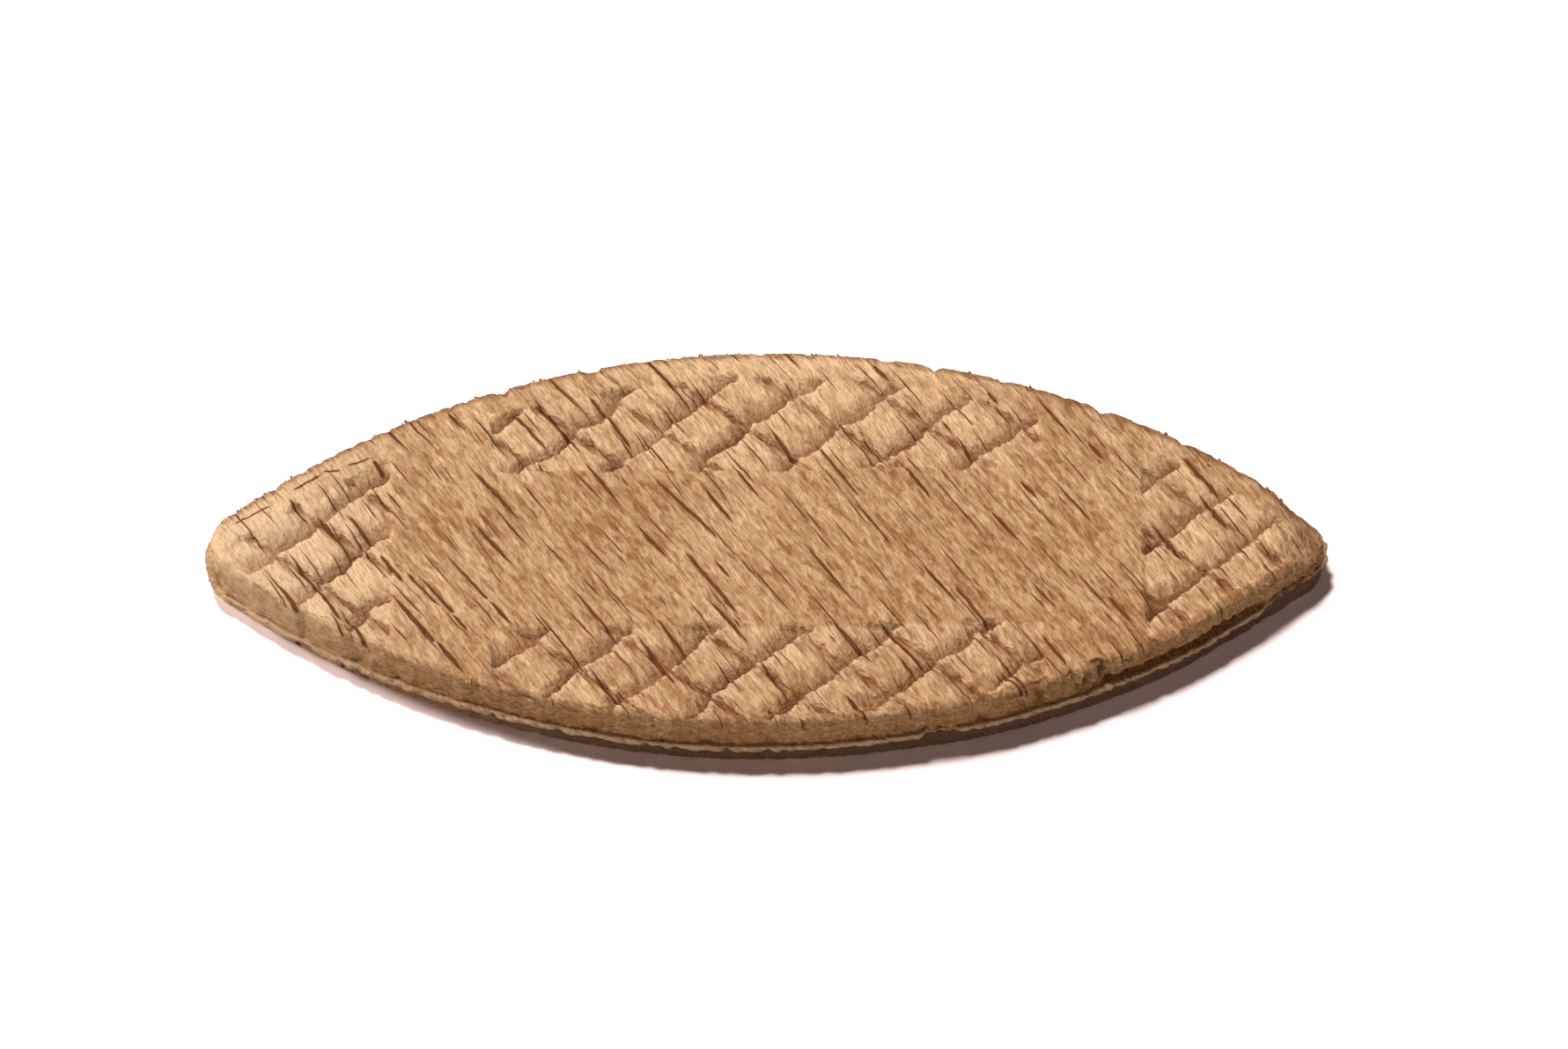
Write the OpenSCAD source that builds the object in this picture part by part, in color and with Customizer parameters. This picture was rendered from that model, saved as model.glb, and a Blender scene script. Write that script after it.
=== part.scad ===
// Jointing biscuit: a lens of pressed beech that is glued into two facing slots.
// It is one piece. The blank is struck from a lath whose two faces were pressed first,
// so the edge has a flash at mid-thickness and the pattern sits a little off the blank.
// Origin at the middle of the piece, X along its length, Z through its thickness, in mm.

/* [Blank] */
// Length from tip to tip
length = 56; // [48:0.5:66]
// Width across the middle, over the flash
width = 23; // [19:0.5:26]
// Thickness between the two faces
thickness = 4; // [3:0.1:5]
// Radius of the blunt tips, seen from above
tip_r = 2.3; // [2:0.1:4]
// Share by which a tip is blunter than one that meets the sides without a corner
tip_corner = 0.08; // [0.04:0.01:0.2]

/* [Edge] */
// Thickness of the flash left where the two punches met
flash_t = 0.3; // [0.2:0.05:0.6]
// How far the flash stands out from the flank
flash_w = 0.22; // [0.1:0.02:0.4]
// How far the flank leans in between the flash and the shoulder
flank_lean = 0.12; // [0.02:0.02:0.3]
// Radius of the shoulder between the flank and a face
shoulder_r = 0.7; // [0.4:0.05:1]

/* [Pressed pads] */
// Length of one lozenge pad, from groove crossing to groove crossing
pad_l = 4.45; // [3.5:0.05:6]
// Width of one lozenge pad, from groove crossing to groove crossing
pad_w = 3.67; // [3:0.01:5]
// Width of a groove at the face
groove_w = 0.84; // [0.4:0.02:1.2]
// Depth of a groove below the face
groove_d = 0.36; // [0.1:0.02:0.6]
// Plain border between the pressed area and the edge of the blank
border = 1.3; // [0.9:0.05:2]

/* [Layout of the pads] */
// Width of the plain panel along the middle
panel_w = 9.3; // [6:0.1:12]
// Length of the two side fields of pads
side_l = 27.3; // [18:0.1:32]
// Length of the plain band between a side field and an end field
band_l = 5.05; // [3:0.05:8]
// From the edge of the plain panel to the first row of groove crossings
first_row = 0.55; // [0:0.05:1.5]
// How far the crossings of the side fields lie off the middle of the length
side_phase = -0.45; // [-2:0.05:2]
// From the inner edge of an end field to the middle of its first full pad
end_phase = 3.3; // [2:0.05:4.5]
// How far the pressing lies off the middle of the blank, across it
press_shift = -0.8; // [-1:0.05:1]
// How far the pressing is turned on the blank, in degrees
press_turn = 0.5; // [-2:0.1:2]

/* [Damage to the edge] */
// Where the split in the front flank starts, along the length
split_start = 16.6; // [5:0.1:20]
// Length of the split
split_l = 7.9; // [2:0.1:8]
// Height of the split at its mouth
split_h = 0.28; // [0.1:0.02:0.5]
// Depth of the split
split_depth = 1; // [0.3:0.05:2]
// Height of the split above the flash
split_lift = 0.04; // [0.02:0.01:0.3]
// Where the gap in the front flash starts, along the length
break_start = 7.9; // [-18:0.1:14]
// Length of the gap in the flash
break_l = 1.5; // [0.5:0.1:5]

/* [Hidden] */
$fa = 2;
$fs = 0.15;

// A cut reaches this far past the face that it opens on
overcut = 0.2;
// Longest flat on the rounded shoulder
shoulder_facet = 0.3;

// The side arcs are those that a slightly smaller tip would meet without a corner
smooth_tip_r = tip_r * (1 - tip_corner);
side_r = (length * length / 4 + width * width / 4 - length * smooth_tip_r)
    / (width - 2 * smooth_tip_r);
side_offset = side_r - width / 2;
tip_x = length / 2 - tip_r;
// Where the side arc meets the tip, as an angle about the tip's centre
meet_angle = atan2(side_offset, tip_x);

// The grooves run along the sides of the pads
groove_angle = atan2(pad_w, pad_l);

// The pressed area is the lens inside the plain border
press_r = side_r - border;
press_end = sqrt(press_r * press_r - side_offset * side_offset);
press_half_w = press_r - side_offset;
end_start = side_l / 2 + band_l;

// Section of the edge, from the middle of an arc (x = 0) out to the flash at x = radius
module edge_section(radius) {
    flank_x = radius - flash_w;
    face_x = flank_x - flank_lean - shoulder_r;
    shoulder_z = thickness / 2 - shoulder_r;
    steps = ceil(shoulder_r * PI / 2 / shoulder_facet);
    shoulder = [
        for (i = [0:steps])
            let (a = 90 * i / steps)
                [face_x + shoulder_r * sin(a), shoulder_z + shoulder_r * cos(a)]
    ];
    flash = [[flank_x, flash_t / 2], [radius, flash_t / 2]];
    upper = concat([[0, thickness / 2]], shoulder, flash);
    lower = [for (i = [len(upper) - 1:-1:0]) [upper[i][0], -upper[i][1]]];
    polygon(concat(upper, lower));
}

// Pointed lens: two wide discs with the same edge, side by side, and what they share
module pointed_lens() {
    intersection_for (side = [-1, 1])
        translate([0, side * side_offset, 0])
            rotate_extrude()
                edge_section(side_r);
}

// Everything between the two tip centres, and a small disc round each of them
module blunt_limit() {
    spread_x = tip_x + width * cos(meet_angle);
    spread_y = width * sin(meet_angle);
    linear_extrude(height = 2 * thickness, center = true)
        polygon([
            [tip_x, 0],
            [spread_x, spread_y],
            [-spread_x, spread_y],
            [-tip_x, 0],
            [-spread_x, -spread_y],
            [spread_x, -spread_y]
        ]);
    for (side = [-1, 1])
        translate([side * tip_x, 0, 0])
            rotate_extrude()
                edge_section(tip_r);
}

module blank() {
    intersection() {
        pointed_lens();
        blunt_limit();
    }
}

// A section swept along the front edge of the blank, between two places on its length
module along_front_edge(start_x, end_x) {
    start_angle = asin(start_x / side_r);
    end_angle = asin(end_x / side_r);
    translate([0, side_offset, 0])
        rotate([0, 0, start_angle - 90])
            rotate_extrude(angle = end_angle - start_angle)
                children();
}

// A wedge-shaped split that opens in the flank, just above the flash
module split() {
    mouth_x = side_r + overcut;
    tip_z = flash_t / 2 + split_lift + split_h / 2;
    along_front_edge(split_start, split_start + split_l)
        polygon([
            [side_r - split_depth, tip_z],
            [mouth_x, tip_z - split_h / 2],
            [mouth_x, tip_z + split_h / 2]
        ]);
}

// A stretch where the flash has broken away as far as the flank
module flash_gap() {
    along_front_edge(break_start, break_start + break_l)
        translate([side_r - flash_w, -flash_t])
            square([flash_w + overcut, 2 * flash_t]);
}

// One V groove through the origin, along X, opening upwards at the face (z = 0)
module groove(reach) {
    spread = groove_w / 2 * (1 + overcut / groove_d);
    rotate([90, 0, 90])
        linear_extrude(height = 2 * reach, center = true)
            polygon([[-spread, overcut], [0, -groove_d], [spread, overcut]]);
}

// Crossed grooves that cover a field of the given size, with a crossing at the origin
module crossed_grooves(field_l, field_w) {
    reach = norm([field_l, field_w]);
    count = ceil((field_l / 2 + field_w / 2 * pad_l / pad_w) / pad_l);
    for (i = [-count:count], lean = [-1, 1])
        translate([i * pad_l, 0, 0])
            rotate([0, 0, lean * groove_angle])
                groove(reach);
}

// The part of the pressed area that lies in a rectangle, as a prism through the face
module field(low, high) {
    translate([0, 0, -2 * groove_d])
        linear_extrude(height = 2 * groove_d + overcut)
            intersection() {
                translate([0, -side_offset])
                    circle(r = press_r);
                translate([0, side_offset])
                    circle(r = press_r);
                translate(low)
                    square(high - low);
            }
}

// Grooves of one long field between the plain panel and the border
module side_field() {
    field_w = press_half_w - panel_w / 2;
    intersection() {
        field([-side_l / 2, panel_w / 2], [side_l / 2, press_half_w]);
        translate([side_phase, panel_w / 2 + first_row + pad_w / 2, 0])
            crossed_grooves(side_l, field_w);
    }
}

// Grooves of one field between a plain band and a tip
module end_field() {
    intersection() {
        field([end_start, -press_half_w], [press_end, press_half_w]);
        translate([end_start + end_phase - pad_l / 2, 0, 0])
            crossed_grooves(2 * (press_end - end_start), width / 2);
    }
}

// All grooves of one face, with that face at z = 0
module face_pattern() {
    translate([0, press_shift, 0])
        rotate([0, 0, press_turn]) {
            side_field();
            mirror([0, 1, 0])
                side_field();
            end_field();
            mirror([1, 0, 0])
                end_field();
        }
}

module biscuit() {
    color("burlywood")
        difference() {
            blank();
            translate([0, 0, thickness / 2])
                face_pattern();
            mirror([0, 0, 1])
                translate([0, 0, thickness / 2])
                    face_pattern();
            split();
            flash_gap();
        }
}

biscuit();
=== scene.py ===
"""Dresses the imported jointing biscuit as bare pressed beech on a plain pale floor.

Lengths are millimetres in the frame of the part's source, X along the biscuit and Z
through it, and become metres where a mesh, a lamp or the camera is made.
"""

import logging
import math
from dataclasses import dataclass, fields
from enum import Enum
from typing import TypeVar

import bpy
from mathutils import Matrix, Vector
from mathutils.geometry import delaunay_2d_cdt


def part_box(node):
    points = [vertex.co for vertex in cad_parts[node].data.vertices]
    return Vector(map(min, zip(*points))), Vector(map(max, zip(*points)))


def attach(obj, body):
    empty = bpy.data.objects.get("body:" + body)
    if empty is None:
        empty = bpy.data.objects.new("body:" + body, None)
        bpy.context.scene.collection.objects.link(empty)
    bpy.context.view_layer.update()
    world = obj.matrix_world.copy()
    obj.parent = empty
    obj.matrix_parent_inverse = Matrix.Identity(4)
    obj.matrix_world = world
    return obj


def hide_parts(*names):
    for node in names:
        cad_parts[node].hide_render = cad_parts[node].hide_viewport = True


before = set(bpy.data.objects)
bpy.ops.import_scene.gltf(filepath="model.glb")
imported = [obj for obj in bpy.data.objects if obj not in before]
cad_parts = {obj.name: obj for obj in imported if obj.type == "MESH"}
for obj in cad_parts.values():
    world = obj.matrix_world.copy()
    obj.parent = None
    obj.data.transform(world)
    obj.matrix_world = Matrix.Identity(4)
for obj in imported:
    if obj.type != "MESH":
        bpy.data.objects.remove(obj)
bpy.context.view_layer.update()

LOG = logging.getLogger("biscuit")
MM = 0.001
NODE = "biscuit"
PHOTO_WIDTH, PHOTO_HEIGHT = 1781, 1192
# Turn of the fibres from the biscuit's length, seen from above, and their direction
GRAIN_ANGLE = math.radians(-54.5)
GRAIN_X, GRAIN_Y = math.cos(GRAIN_ANGLE), math.sin(GRAIN_ANGLE)
# Strength of each finer layer of a noise, as a share of the one before
NOISE_ROUGHNESS = 0.55


def srgb(red: int, green: int, blue: int) -> tuple[float, float, float, float]:
    """Turns a screen colour into Blender's linear values.

    Args:
        red: Red, from 0 to 255.
        green: Green, from 0 to 255.
        blue: Blue, from 0 to 255.

    Returns:
        The linear colour, with an alpha of 1.
    """
    linear = [
        c / 12.92 if c <= 0.04045 else ((c + 0.055) / 1.055) ** 2.4
        for c in (red / 255, green / 255, blue / 255)
    ]
    return (*linear, 1.0)


class Ease(Enum):
    """How a ramp runs between its ends."""

    SMOOTH = "SMOOTHSTEP"
    STRAIGHT = "LINEAR"


@dataclass(frozen=True)
class Value:
    """An output socket with a number, on which operators add Math nodes to its graph."""

    graph: "Graph"
    socket: bpy.types.NodeSocket

    def __add__(self, other: "Operand") -> "Value":
        """Adds another operand."""
        return self.graph.maths("ADD", self, other)

    def __sub__(self, other: "Operand") -> "Value":
        """Takes another operand away."""
        return self.graph.maths("SUBTRACT", self, other)

    def __rsub__(self, other: "Operand") -> "Value":
        """Takes this value away from a number."""
        return self.graph.maths("SUBTRACT", other, self)

    def __mul__(self, other: "Operand") -> "Value":
        """Multiplies by another operand."""
        return self.graph.maths("MULTIPLY", self, other)

    def __truediv__(self, other: "Operand") -> "Value":
        """Divides by another operand."""
        return self.graph.maths("DIVIDE", self, other)

    def __rtruediv__(self, other: "Operand") -> "Value":
        """Divides a number by this value."""
        return self.graph.maths("DIVIDE", other, self)

    def __pow__(self, other: "Operand") -> "Value":
        """Raises to a power."""
        return self.graph.maths("POWER", self, other)

    def __abs__(self) -> "Value":
        """Gives the size without the sign."""
        return self.graph.maths("ABSOLUTE", self)

    __radd__ = __add__
    __rmul__ = __mul__

    def ramp(self, low: "Operand", high: "Operand", ease: Ease = Ease.SMOOTH) -> "Value":
        """Maps the stretch from low to high onto 0 to 1.

        Args:
            low: The value that becomes 0.
            high: The value that becomes 1.
            ease: How it runs between the two.

        Returns:
            The share, held between 0 and 1.
        """
        settings = {"interpolation_type": ease.value, "clamp": True}
        inputs = {"Value": self, "From Min": low, "From Max": high}
        return self.graph.value("ShaderNodeMapRange", 0, settings, inputs)


Operand = Value | float
Sizes = TypeVar("Sizes")


@dataclass(frozen=True)
class Graph:
    """Adds nodes to one node tree, for a material or for Geometry Nodes."""

    tree: bpy.types.NodeTree

    @classmethod
    def of(cls, owner: bpy.types.Material | bpy.types.World) -> "Graph":
        """Starts on the emptied tree of a material or a world.

        Args:
            owner: The material or world.

        Returns:
            The graph.
        """
        owner.use_nodes = True
        owner.node_tree.nodes.clear()
        return cls(owner.node_tree)

    def add(
        self, kind: str, settings: dict | None = None, inputs: dict | None = None
    ) -> bpy.types.Node:
        """Adds one node.

        Args:
            kind: The node's type name.
            settings: Properties, set before the sockets.
            inputs: Values or links by socket name or number.

        Returns:
            The new node.
        """
        node = self.tree.nodes.new(kind)
        for name, setting in (settings or {}).items():
            setattr(node, name, setting)
        for name, operand in (inputs or {}).items():
            self.feed(node.inputs[name], operand)
        return node

    def feed(self, socket: bpy.types.NodeSocket, operand: object) -> None:
        """Links an output to a socket, or writes a constant on it.

        Args:
            socket: The input socket.
            operand: A Value, an output socket or a constant.
        """
        if isinstance(operand, Value):
            operand = operand.socket
        if isinstance(operand, bpy.types.NodeSocket):
            self.tree.links.new(operand, socket)
        else:
            socket.default_value = operand

    def value(
        self, kind: str, output: int, settings: dict | None = None, inputs: dict | None = None
    ) -> Value:
        """Adds a node as add does, and wraps one of its number outputs."""
        return Value(self, self.add(kind, settings, inputs).outputs[output])

    def maths(self, operation: str, *operands: Operand) -> Value:
        """Adds a Math node, with its operands in order."""
        return self.value("ShaderNodeMath", 0, {"operation": operation}, dict(enumerate(operands)))

    def least(self, first: Operand, *others: Operand) -> Operand:
        """Gives the smallest of several operands.

        Args:
            first: One operand.
            others: The others.

        Returns:
            The smallest.
        """
        for other in others:
            first = self.maths("MINIMUM", first, other)
        return first

    def most(self, first: Operand, *others: Operand) -> Operand:
        """Gives the largest of several operands.

        Args:
            first: One operand.
            others: The others.

        Returns:
            The largest.
        """
        for other in others:
            first = self.maths("MAXIMUM", first, other)
        return first

    def vector(self, x: Operand, y: Operand, z: Operand = 0.0) -> bpy.types.NodeSocket:
        """Joins three numbers into a vector socket."""
        return self.add("ShaderNodeCombineXYZ", None, {"X": x, "Y": y, "Z": z}).outputs[0]

    def parts(self, vector: bpy.types.NodeSocket) -> tuple[Value, Value, Value]:
        """Splits a vector socket into its three numbers."""
        node = self.add("ShaderNodeSeparateXYZ", None, {0: vector})
        return tuple(Value(self, output) for output in node.outputs)

    def noise(self, vector: bpy.types.NodeSocket, detail: float) -> Value:
        """Adds a Noise Texture at scale 1, from 0 to 1, with so many finer layers."""
        inputs = {"Vector": vector, "Scale": 1.0, "Detail": detail, "Roughness": NOISE_ROUGHNESS}
        return self.value("ShaderNodeTexNoise", 0, {"noise_dimensions": "3D"}, inputs)

    def cells(self, vector: bpy.types.NodeSocket, randomness: float) -> bpy.types.Node:
        """Adds a Voronoi Texture at scale 1, which splits the plane into cells.

        Args:
            vector: Where it is read.
            randomness: How far the cells stray from a grid, from 0 to 1.

        Returns:
            The node.
        """
        settings = {"voronoi_dimensions": "2D", "feature": "F1"}
        inputs = {"Vector": vector, "Scale": 1.0, "Randomness": randomness}
        return self.add("ShaderNodeTexVoronoi", settings, inputs)

    def mix(self, factor: Operand, first: object, second: object) -> bpy.types.NodeSocket:
        """Mixes two colours, the second by the factor."""
        settings = {"data_type": "RGBA", "clamp_factor": True}
        return self.add("ShaderNodeMix", settings, {0: factor, 6: first, 7: second}).outputs[2]


@dataclass(frozen=True)
class Vessels:
    """Open vessels of one size, which show on a face as tapered slits.

    Attributes:
        length: Length of the stretch that holds one slit.
        spacing: Distance between slits, across the fibres.
        half_width: Half the width of a slit at its middle.
        seed: Moves the slits to other places.
    """

    length: float
    spacing: float
    half_width: float
    seed: float


LARGE_VESSELS = Vessels(5.0, 2.1, 0.1, 0.0)
SMALL_VESSELS = Vessels(3.4, 1.25, 0.05, 17.0)


@dataclass(frozen=True)
class WoodPlace:
    """A place in mm along, across and through the biscuit, in the graph that reads it."""

    graph: Graph
    x: Value
    y: Value
    z: Value

    @classmethod
    def at(cls, graph: Graph, position: bpy.types.NodeSocket) -> "WoodPlace":
        """Makes a place of a position in metres."""
        return cls(graph, *(part * (1 / MM) for part in graph.parts(position)))

    @property
    def along(self) -> Value:
        """Distance along the fibres."""
        return self.x * GRAIN_X + self.y * GRAIN_Y

    @property
    def across(self) -> Value:
        """Distance across the fibres, on the face."""
        return self.x * -GRAIN_Y + self.y * GRAIN_X

    def fibre_noise(
        self, along: float, across: float, seed: float, detail: float, flat: bool = False
    ) -> Value:
        """Reads a noise that is drawn out along the fibres.

        Args:
            along: Waves per mm along the fibres.
            across: Waves per mm across them.
            seed: Moves the noise to another place.
            detail: The number of finer layers.
            flat: Whether it is the same all through the thickness.

        Returns:
            The noise, from 0 to 1.
        """
        depth = 0.0 if flat else self.z * across
        vector = self.graph.vector(self.along * along + seed, self.across * across, depth)
        return self.graph.noise(vector, detail)

    def moved_along(self, distance: Value) -> "WoodPlace":
        """Moves along the fibres.

        Args:
            distance: How far, in mm.

        Returns:
            The place there.
        """
        x = self.x + distance * GRAIN_X
        y = self.y + distance * GRAIN_Y
        return WoodPlace(self.graph, x, y, self.z)

    def even_noise(self, waves: float, seed: float, detail: float) -> Value:
        """Reads a noise with so many waves per mm in every direction."""
        vector = self.graph.vector(self.x * waves + seed, self.y * waves, self.z * waves)
        return self.graph.noise(vector, detail)

    def slits(self, vessels: Vessels) -> Value:
        """Finds the slits of open vessels.

        Args:
            vessels: Their sizes.

        Returns:
            1 in the middle of a slit, 0 on its edge and less beside it.
        """
        graph, spacing, seed = self.graph, vessels.spacing, vessels.seed
        drift = (self.fibre_noise(0.1, 0.2, seed + 3.1, 0.0, True) - 0.5) * 0.9
        drift = drift + (self.fibre_noise(1.6, 0.6, seed + 8.3, 1.0, True) - 0.5) * 0.08
        a = self.along / vessels.length + seed
        c = (self.across + drift) / spacing
        cells = graph.cells(graph.vector(a, c), 0.9)
        centre_a, centre_c, _ = graph.parts(cells.outputs["Position"])
        size, width, _ = graph.parts(cells.outputs["Color"])
        reach = (a - centre_a) / (size * 0.42 + 0.1)
        side = abs(c - centre_c) * spacing / (vessels.half_width * (width * 0.9 + 0.35))
        return 1.0 - reach * reach - side

    def cracks(self, lines: tuple[tuple[float, ...], ...]) -> Value:
        """Finds named cracks, each a straight line that wavers a little.

        Args:
            lines: Each crack's first x and y, last x and y, and half width.

        Returns:
            1 in the middle of a crack, 0 on its edge and less beside it.
        """
        waver = (self.even_noise(1.6, 63.0, 3.0) - 0.5) * 0.22
        found = []
        for x0, y0, x1, y1, half_width in lines:
            length = math.hypot(x1 - x0, y1 - y0)
            cosine, sine = (x1 - x0) / length, (y1 - y0) / length
            from_x, from_y = self.x - x0, self.y - y0
            share = (from_x * cosine + from_y * sine) / length
            aside = abs(from_y * cosine - from_x * sine + waver)
            taper = share.ramp(-0.05, 0.2) * share.ramp(1.05, 0.75)
            found.append(taper * 1.5 - aside / half_width - 0.5)
        return self.graph.most(*found)

    def flakes(self, length: float, width: float, seed: float) -> Value:
        """Finds the torn ends of fibres, which lie over one another like flakes.

        Args:
            length: Length of a flake.
            width: Width of a flake.
            seed: Moves the flakes to other places.

        Returns:
            The height of each flake, from 0 to 1.
        """
        graph = self.graph
        twist = (self.even_noise(1.4, seed + 5.0, 1.0) - 0.5) * 0.8
        where = graph.vector((self.along + twist) / length + seed, self.across / width)
        return graph.parts(graph.cells(where, 1.0).outputs["Color"])[0]


@dataclass(frozen=True)
class Blank:
    """Outline and edge of the biscuit, with the names and values of the part's source."""

    length: float
    width: float
    thickness: float
    tip_r: float = 2.3
    tip_corner: float = 0.08
    flash_t: float = 0.3
    flash_w: float = 0.22
    flank_lean: float = 0.12
    shoulder_r: float = 0.7
    border: float = 1.3

    @property
    def face_z(self) -> float:
        """Height of the upper face above the middle."""
        return self.thickness / 2

    @property
    def side_r(self) -> float:
        """Radius of the long sides."""
        tip = self.tip_r * (1 - self.tip_corner)
        return (self.length**2 / 4 + self.width**2 / 4 - self.length * tip) / (self.width - 2 * tip)

    @property
    def side_offset(self) -> float:
        """Distance of the sides' centres from the middle."""
        return self.side_r - self.width / 2

    @property
    def tip_x(self) -> float:
        """Distance of the tips' centres from the middle."""
        return self.length / 2 - self.tip_r

    @property
    def face_inset(self) -> float:
        """How far inside the outline the flat face starts."""
        return self.flash_w + self.flank_lean + self.shoulder_r

    def corner(self, inset: float) -> tuple[float, float]:
        """Finds where a long side meets the right tip.

        Args:
            inset: How far inside the outline.

        Returns:
            The corner's angle about the far side's centre, and about the tip's.
        """
        side, tip = self.side_r - inset, self.tip_r - inset
        gap = math.hypot(self.tip_x, self.side_offset)
        lean = math.acos((side**2 + gap**2 - tip**2) / (2 * side * gap))
        angle = math.atan2(self.side_offset, self.tip_x) + lean
        x = side * math.cos(angle) - self.tip_x
        y = side * math.sin(angle) - self.side_offset
        return angle, math.atan2(y, x)

    def ring(self, inset: float, side_steps: int, tip_steps: int) -> list[tuple[Vector, Vector]]:
        """Walks round the outline, anticlockwise from the right tip's upper corner.

        Args:
            inset: How far inside the outline.
            side_steps: Steps along each long side.
            tip_steps: Steps round each tip.

        Returns:
            Each step's place and outward direction.
        """
        side_angle, tip_angle = self.corner(inset)
        side, tip = (self.side_r, side_steps), (self.tip_r, tip_steps)
        arcs = (
            (0, -self.side_offset, side_angle, math.pi - side_angle, *side),
            (-self.tip_x, 0, math.pi - tip_angle, math.pi + tip_angle, *tip),
            (0, self.side_offset, math.pi + side_angle, math.tau - side_angle, *side),
            (self.tip_x, 0, -tip_angle, tip_angle, *tip),
        )
        steps = []
        for x, y, start, end, radius, count in arcs:
            centre = Vector((x, y))
            for i in range(count):
                angle = start + (end - start) * i / count
                out = Vector((math.cos(angle), math.sin(angle)))
                steps.append((centre + out * (radius - inset), out))
        return steps

    def inset(self, x: float, y: float) -> float:
        """Measures how far a place lies inside the outline, seen from above.

        Args:
            x: The place along the biscuit.
            y: The place across it.

        Returns:
            The distance in mm, below 0 outside.
        """
        x, y = abs(x), abs(y)
        _, tip_angle = self.corner(0.0)
        if x > self.tip_x and math.atan2(y, x - self.tip_x) < tip_angle:
            return self.tip_r - math.hypot(x - self.tip_x, y)
        return self.side_r - math.hypot(x, y + self.side_offset)

    def section(
        self, shoulder_rows: int, flank_rows: int, flash_rows: int
    ) -> list[tuple[float, float]]:
        """Lists the upper half of the edge's section, from the face down to the flash.

        Args:
            shoulder_rows: Rows round the shoulder.
            flank_rows: Rows down the flank.
            flash_rows: Rows out along the top of the flash.

        Returns:
            Each row's inset and height.
        """
        rows = []
        for i in range(shoulder_rows):
            angle = math.pi / 2 * i / shoulder_rows
            inset = self.face_inset - self.shoulder_r * math.sin(angle)
            rows.append((inset, self.face_z - self.shoulder_r * (1 - math.cos(angle))))
        top, bottom = self.face_z - self.shoulder_r, self.flash_t / 2
        for i in range(flank_rows):
            share = i / flank_rows
            inset = self.flash_w + self.flank_lean * (1 - share)
            rows.append((inset, top + (bottom - top) * share))
        for i in range(flash_rows + 1):
            rows.append((self.flash_w * (1 - i / flash_rows), bottom))
        return rows


@dataclass(frozen=True)
class PadMarks:
    """What the pressing does at a place, each from 0 to 1.

    Attributes:
        depth: How deep the place lies in a groove.
        low: How low its pad lies.
        step: Whether it is on the broken step that a pad ends in.
        frayed_and_painted_highlight: Whether it is just beyond that step, where the fibres stand up
            and the finish paints a highlight on the lit edge.
        pressed: Whether there are pads at all.
    """

    depth: Value
    low: Value
    step: Value
    frayed_and_painted_highlight: Value
    pressed: Operand = 1.0


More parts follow.
